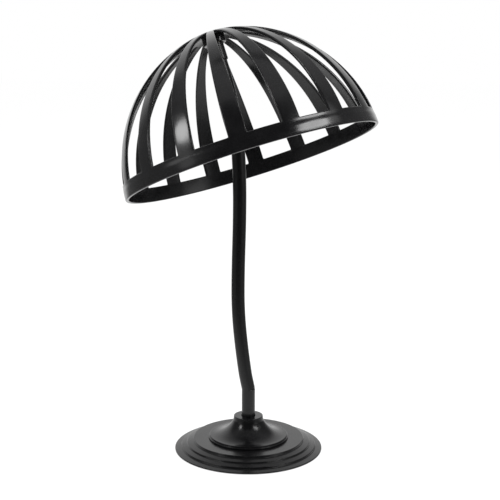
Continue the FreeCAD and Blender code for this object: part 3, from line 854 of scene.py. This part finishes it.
def mirrored_studio(world):
    """Brightness in each direction, as the gloss mirrors it: walls, ceiling, the gap between them, and patches."""
    way = add_node(world, "ShaderNodeTexCoord").outputs["Generated"]
    parts = add_node(world, "ShaderNodeSeparateXYZ", vector=way)
    depth, height = parts.outputs["Y"], parts.outputs["Z"]

    slant = add_node(world, "ShaderNodeMath", {"operation": "MULTIPLY"},
                     input_0=parts.outputs["X"], input_1=CEILING_SLANT)
    slanted = add_node(world, "ShaderNodeMath", {"operation": "SUBTRACT"},
                       input_0=depth, input_1=slant.outputs["Value"])
    ceiling = add_node(world, "ShaderNodeMapRange", SOFT, value=slanted.outputs["Value"],
                       from_min=CEILING_DEPTHS[0], from_max=CEILING_DEPTHS[1],
                       to_min=math.sin(CEILING_FRONT), to_max=math.sin(CEILING_BEHIND))
    walls = add_node(world, "ShaderNodeMapRange", SOFT, value=height,
                     from_min=ceiling.outputs["Result"], from_max=math.sin(CEILING_WHOLE),
                     to_min=studio_walls(world, way, BACKDROP_LEFT), to_max=CEILING_LEVEL)

    offset = add_node(world, "ShaderNodeMath", {"operation": "SUBTRACT"}, input_0=depth, input_1=GAP_DEPTH)
    across = add_node(world, "ShaderNodeMath", {"operation": "ABSOLUTE"}, input_0=offset.outputs["Value"])
    dark = add_node(world, "ShaderNodeMapRange", SOFT, value=across.outputs["Value"],
                    from_min=GAP_REACH[0], from_max=GAP_REACH[1], to_min=GAP_SHARE, to_max=1.0)
    gap = add_node(world, "ShaderNodeMapRange", SOFT, value=height,
                   from_min=GAP_HEIGHTS[0], from_max=GAP_HEIGHTS[1], to_min=1.0, to_max=dark.outputs["Result"])
    level = add_node(world, "ShaderNodeMath", {"operation": "MULTIPLY"},
                     input_0=walls.outputs["Result"], input_1=gap.outputs["Result"]).outputs["Value"]

    for azimuth, elevation, core, edge, power in PATCHES:
        turn, up = math.radians(azimuth), math.radians(elevation)
        aim = (math.sin(turn) * math.cos(up), math.cos(turn) * math.cos(up), math.sin(up))
        near = add_node(world, "ShaderNodeVectorMath", {"operation": "DOT_PRODUCT"}, input_0=way, input_1=aim)
        glow = add_node(world, "ShaderNodeMapRange", SOFT, value=near.outputs["Value"],
                        from_min=math.cos(math.radians(edge)), from_max=math.cos(math.radians(core)),
                        to_min=0.0, to_max=power)
        level = add_node(world, "ShaderNodeMath", {"operation": "ADD"},
                         input_0=level, input_1=glow.outputs["Result"]).outputs["Value"]
    return level


def world_light(scene):
    """White where the camera sees it, an even light on matt surfaces, and a studio for the gloss to mirror."""
    world = bpy.data.worlds.new("studio")
    scene.world = world
    world.use_nodes = True
    world.node_tree.nodes.clear()
    path = add_node(world, "ShaderNodeLightPath")
    plain = add_node(world, "ShaderNodeBackground", color=WHITE, strength=1.0)
    mirrored = add_node(world, "ShaderNodeBackground", color=WHITE, strength=mirrored_studio(world))
    seen = add_node(world, "ShaderNodeBackground", color=WHITE, strength=1.0)
    gloss = add_node(world, "ShaderNodeMixShader", input_0=path.outputs["Is Glossy Ray"],
                     input_1=plain.outputs["Background"], input_2=mirrored.outputs["Background"])
    mixed = add_node(world, "ShaderNodeMixShader", input_0=path.outputs["Is Camera Ray"],
                     input_1=gloss.outputs["Shader"], input_2=seen.outputs["Background"])
    add_node(world, "ShaderNodeOutputWorld", surface=mixed.outputs["Shader"])


# Operators

class HATSTAND_OT_dome(bpy.types.Operator):
    """Model the ribbed dome with its boss, in place of the plain one"""

    bl_idname = "hat_stand.dome"
    bl_label = "Ribbed dome"

    def execute(self, context):
        dome = context.scene.hat_stand_dome
        shell = model_dome(dome)
        boss = model_boss(dome)
        select_only(shell)
        boss.select_set(True)
        bpy.ops.object.join()
        settle(shell, head_place(dome))
        # Polystyrene from a polished mould: near black, with long sharp highlights that its ripple bends a little
        paint(shell, moulded_plastic(
            "polished_moulded_styrene", dome.tint, ior=1.54, roughness=0.17, spread=0.03,
            ripple_mm=9, ripple_depth_mm=0.012, grain_mm=0.7, grain_depth_mm=0.0012))
        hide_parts("hat_dome")
        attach(shell, HEAD_BODY)
        return {"FINISHED"}


class HATSTAND_OT_neck(bpy.types.Operator):
    """Model the sleeve and its core as smooth bends, one across each hinge of the neck"""

    bl_idname = "hat_stand.neck"
    bl_label = "Bendable neck"

    def execute(self, context):
        neck = context.scene.hat_stand_neck
        # Soft vinyl (PVC), extruded as a tube: satin black, with one broad blurred highlight along it
        sleeve_finish = plain_finish("satin_vinyl_sleeve", neck.tint, metallic=0.0, roughness=0.3,
                                     grain_mm=0.9, depth_mm=0.004, contrast=0.12)
        # Annealed steel rod, drawn and left bare: grey metal, half dull, with a fine mottle
        core_finish = plain_finish("annealed_steel_core", linear("#b4b4b6"), metallic=1.0, roughness=0.4,
                                   grain_mm=0.6, depth_mm=0.003, contrast=0.1)
        layers = (
            ("sleeve", neck.radius, neck.radius - neck.core_radius - CORE_GAP, sleeve_finish, "sleeve_vinyl"),
            ("core", neck.core_radius, 0, core_finish, "core_steel"),
        )
        places = [Vector((0, 0, neck.sleeve_start))]
        ways = []
        for hinge, way in zip(HINGES, DIRECTIONS):
            places.append(hinge + way * STRETCH / 2)
            ways.append(way)
        # The vinyl kinks where it leaves the rigid ferrule
        ways.insert(0, (places[1] - places[0]).normalized())
        for number in range(1, len(places)):
            for kind, radius, wall, finish, slot in layers:
                piece = model_tube("%s_bend_%d" % (kind, number), places[number - 1], places[number],
                                   ways[number - 1], ways[number], radius, wall)
                paint(piece, finish)
                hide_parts("neck_%s_%d" % (kind, number))
                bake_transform(piece)
        end = HINGES[-1] + HEAD_AXIS * (STRETCH - neck.cup_floor)
        for kind, radius, wall, finish, slot in layers:
            piece = model_tube(kind + "_end", places[-1], end, HEAD_AXIS, HEAD_AXIS, radius, wall)
            paint(piece, finish)
            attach(piece, HEAD_BODY)
        return {"FINISHED"}


class HATSTAND_OT_foot(bpy.types.Operator):
    """Model the stepped disc and the trumpet-shaped collar"""

    bl_idname = "hat_stand.foot"
    bl_label = "Foot"

    def execute(self, context):
        foot = context.scene.hat_stand_foot
        # Polystyrene from a mould that was turned and not polished: weaker, broader highlights than the dome's.
        # Such a skin is too fine to draw, so its weaker gloss is an IOR under the plastic's own
        finish = moulded_plastic(
            "turned_mould_styrene", foot.tint, ior=1.4, roughness=0.22, spread=0.03,
            ripple_mm=14, ripple_depth_mm=0.01, grain_mm=0.8, grain_depth_mm=0.001)
        for piece, node in ((model_disc(foot), "base_disc"), (model_collar(foot), "base_collar")):
            paint(piece, finish)
            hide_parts(node)
            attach(piece, FOOT_BODY)
        return {"FINISHED"}


class HATSTAND_OT_fittings(bpy.types.Operator):
    """Give the ferrules, insert, ballast, washer, nut and pad their finishes"""

    bl_idname = "hat_stand.fittings"
    bl_label = "Fittings"

    def execute(self, context):
        neck = context.scene.hat_stand_neck
        fittings = (
            # Steel tube, sprayed black: satin, a little lighter than the sleeve, with a faint orange peel
            (("lower_ferrule", "upper_ferrule"), plain_finish(
                "painted_steel_ferrule", neck.ferrule_tint, metallic=0.0, roughness=0.3,
                grain_mm=0.5, depth_mm=0.004, contrast=0.1)),
            # Brass bar, turned: warm yellow metal with small bright highlights
            (("crown_insert",), plain_finish(
                "machined_brass", linear("#c9a35a"), metallic=1.0, roughness=0.3,
                grain_mm=0.4, depth_mm=0.003, contrast=0.08)),
            # Mild steel plate, hot rolled and blackened: dark, dull metal, slightly cloudy
            (("ballast_plate",), plain_finish(
                "blackened_steel_plate", linear("#4a4a4c"), metallic=1.0, roughness=0.55,
                grain_mm=0.8, depth_mm=0.01, contrast=0.15)),
            # Steel with bright zinc plating: pale, cool grey metal, half glossy
            (("base_washer", "base_nut"), plain_finish(
                "zinc_plated_steel", linear("#b9bcc0"), metallic=1.0, roughness=0.32,
                grain_mm=0.6, depth_mm=0.004, contrast=0.12)),
            # Foam rubber cut from a sheet: dark and dull, with open pores
            (("foot_pad",), plain_finish(
                "foam_rubber_pad", linear("#1a1a1a"), metallic=0.0, roughness=0.9,
                grain_mm=0.5, depth_mm=0.06, contrast=0.25)),
        )
        for nodes, finish in fittings:
            for node in nodes:
                paint(frame["nodes"][node], finish)
        return {"FINISHED"}


class HATSTAND_OT_stage(bpy.types.Operator):
    """Set up the camera, the pale floor and the soft studio light"""

    bl_idname = "hat_stand.stage"
    bl_label = "Stage"

    def execute(self, context):
        stage = context.scene.hat_stand_stage
        scene = context.scene
        scene.view_settings.view_transform = "Standard"
        clear_selection()
        bpy.ops.object.camera_add(
            location=stage.camera_place,
            rotation=(math.pi / 2 - stage.camera_down, -stage.camera_roll, -stage.camera_right))
        camera = context.active_object
        camera.data.sensor_width = SENSOR_WIDTH
        camera.data.lens = stage.lens
        camera.data.clip_start = NEAREST
        scene.camera = camera

        bpy.ops.mesh.primitive_plane_add(size=stage.floor_size, location=(0, 0, 0))
        floor = context.active_object
        floor.name = "floor"
        paint(floor, floor_finish(stage))
        for name, lit, place, width, tall, power in LAMPS:
            bpy.ops.object.light_add(type="AREA", location=place)
            lamp = context.active_object
            lamp.name = name
            lamp.data.shape = "ELLIPSE" if lit == "gloss" else "RECTANGLE"
            lamp.data.size = width
            lamp.data.size_y = tall
            lamp.data.energy = power
            lamp.visible_glossy = lit == "gloss"
            lamp.visible_diffuse = lit == "matt"
            lamp.visible_camera = False
            lamp.rotation_euler = (Vector(place) - Vector(AIM)).to_track_quat("Z", "Y").to_euler()
        world_light(scene)
        return {"FINISHED"}


# Panel and registration

class HATSTAND_PT_panel(bpy.types.Panel):
    """The hat stand's pieces and their sizes"""

    bl_idname = "HATSTAND_PT_panel"
    bl_label = "Hat stand"
    bl_space_type = "VIEW_3D"
    bl_region_type = "UI"
    bl_category = "Hat stand"

    def draw(self, context):
        for operator, settings in STEPS:
            box = self.layout.box()
            box.operator(operator.bl_idname)
            group = getattr(context.scene, settings, None)
            if group is None:
                continue
            for name in group.__annotations__:
                box.prop(group, name)


STEPS = (
    (HATSTAND_OT_dome, "hat_stand_dome"),
    (HATSTAND_OT_neck, "hat_stand_neck"),
    (HATSTAND_OT_foot, "hat_stand_foot"),
    (HATSTAND_OT_fittings, ""),
    (HATSTAND_OT_stage, "hat_stand_stage"),
)
GROUPS = {
    "hat_stand_dome": HatStandDome,
    "hat_stand_neck": HatStandNeck,
    "hat_stand_foot": HatStandFoot,
    "hat_stand_stage": HatStandStage,
}
CLASSES = (*GROUPS.values(), *(operator for operator, _ in STEPS), HATSTAND_PT_panel)


def register():
    for kind in CLASSES:
        bpy.utils.register_class(kind)
    for name, group in GROUPS.items():
        setattr(bpy.types.Scene, name, bpy.props.PointerProperty(type=group))


def unregister():
    for name in GROUPS:
        delattr(bpy.types.Scene, name)
    for kind in reversed(CLASSES):
        bpy.utils.unregister_class(kind)


def main():
    register()
    bpy.ops.hat_stand.dome()
    bpy.ops.hat_stand.neck()
    bpy.ops.hat_stand.foot()
    bpy.ops.hat_stand.fittings()
    bpy.ops.hat_stand.stage()


if __name__ == "__main__":
    main()
